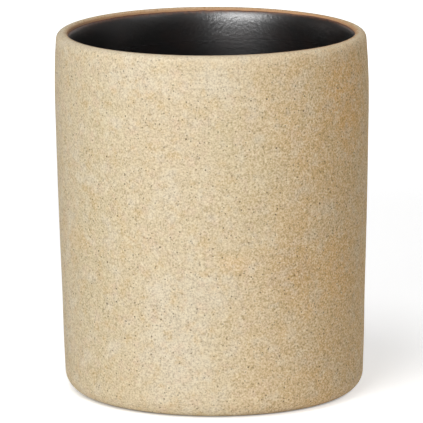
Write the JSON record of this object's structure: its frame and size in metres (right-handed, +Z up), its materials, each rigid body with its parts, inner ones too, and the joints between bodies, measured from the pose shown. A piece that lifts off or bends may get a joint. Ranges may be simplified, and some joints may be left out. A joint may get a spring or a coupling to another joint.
{
  "type": "toothbrush cup",
  "caption": "Free-standing stoneware toothbrush cup: softly tapered, bare speckled clay outside, rounded lip and base corner, dark glossy glaze inside.",
  "frame": {"origin": "centre of the foot, on the surface that the cup stands on", "axes": "+Z up along the cup's turned axis, +X to the right and -Y towards the viewer of the picture"},
  "size_m": [0.0864, 0.0864, 0.1],
  "materials": {
    "unglazed_stoneware": "bare fired sand-coloured clay with fine dark specks, matt",
    "dark_iron_glaze": "near-black semi-gloss glaze that breaks red-brown at its edge"
  },
  "bodies": {
    "root": {"stoneware_body": "unglazed_stoneware", "inner_glaze": "dark_iron_glaze"}
  },
  "joints": []
}
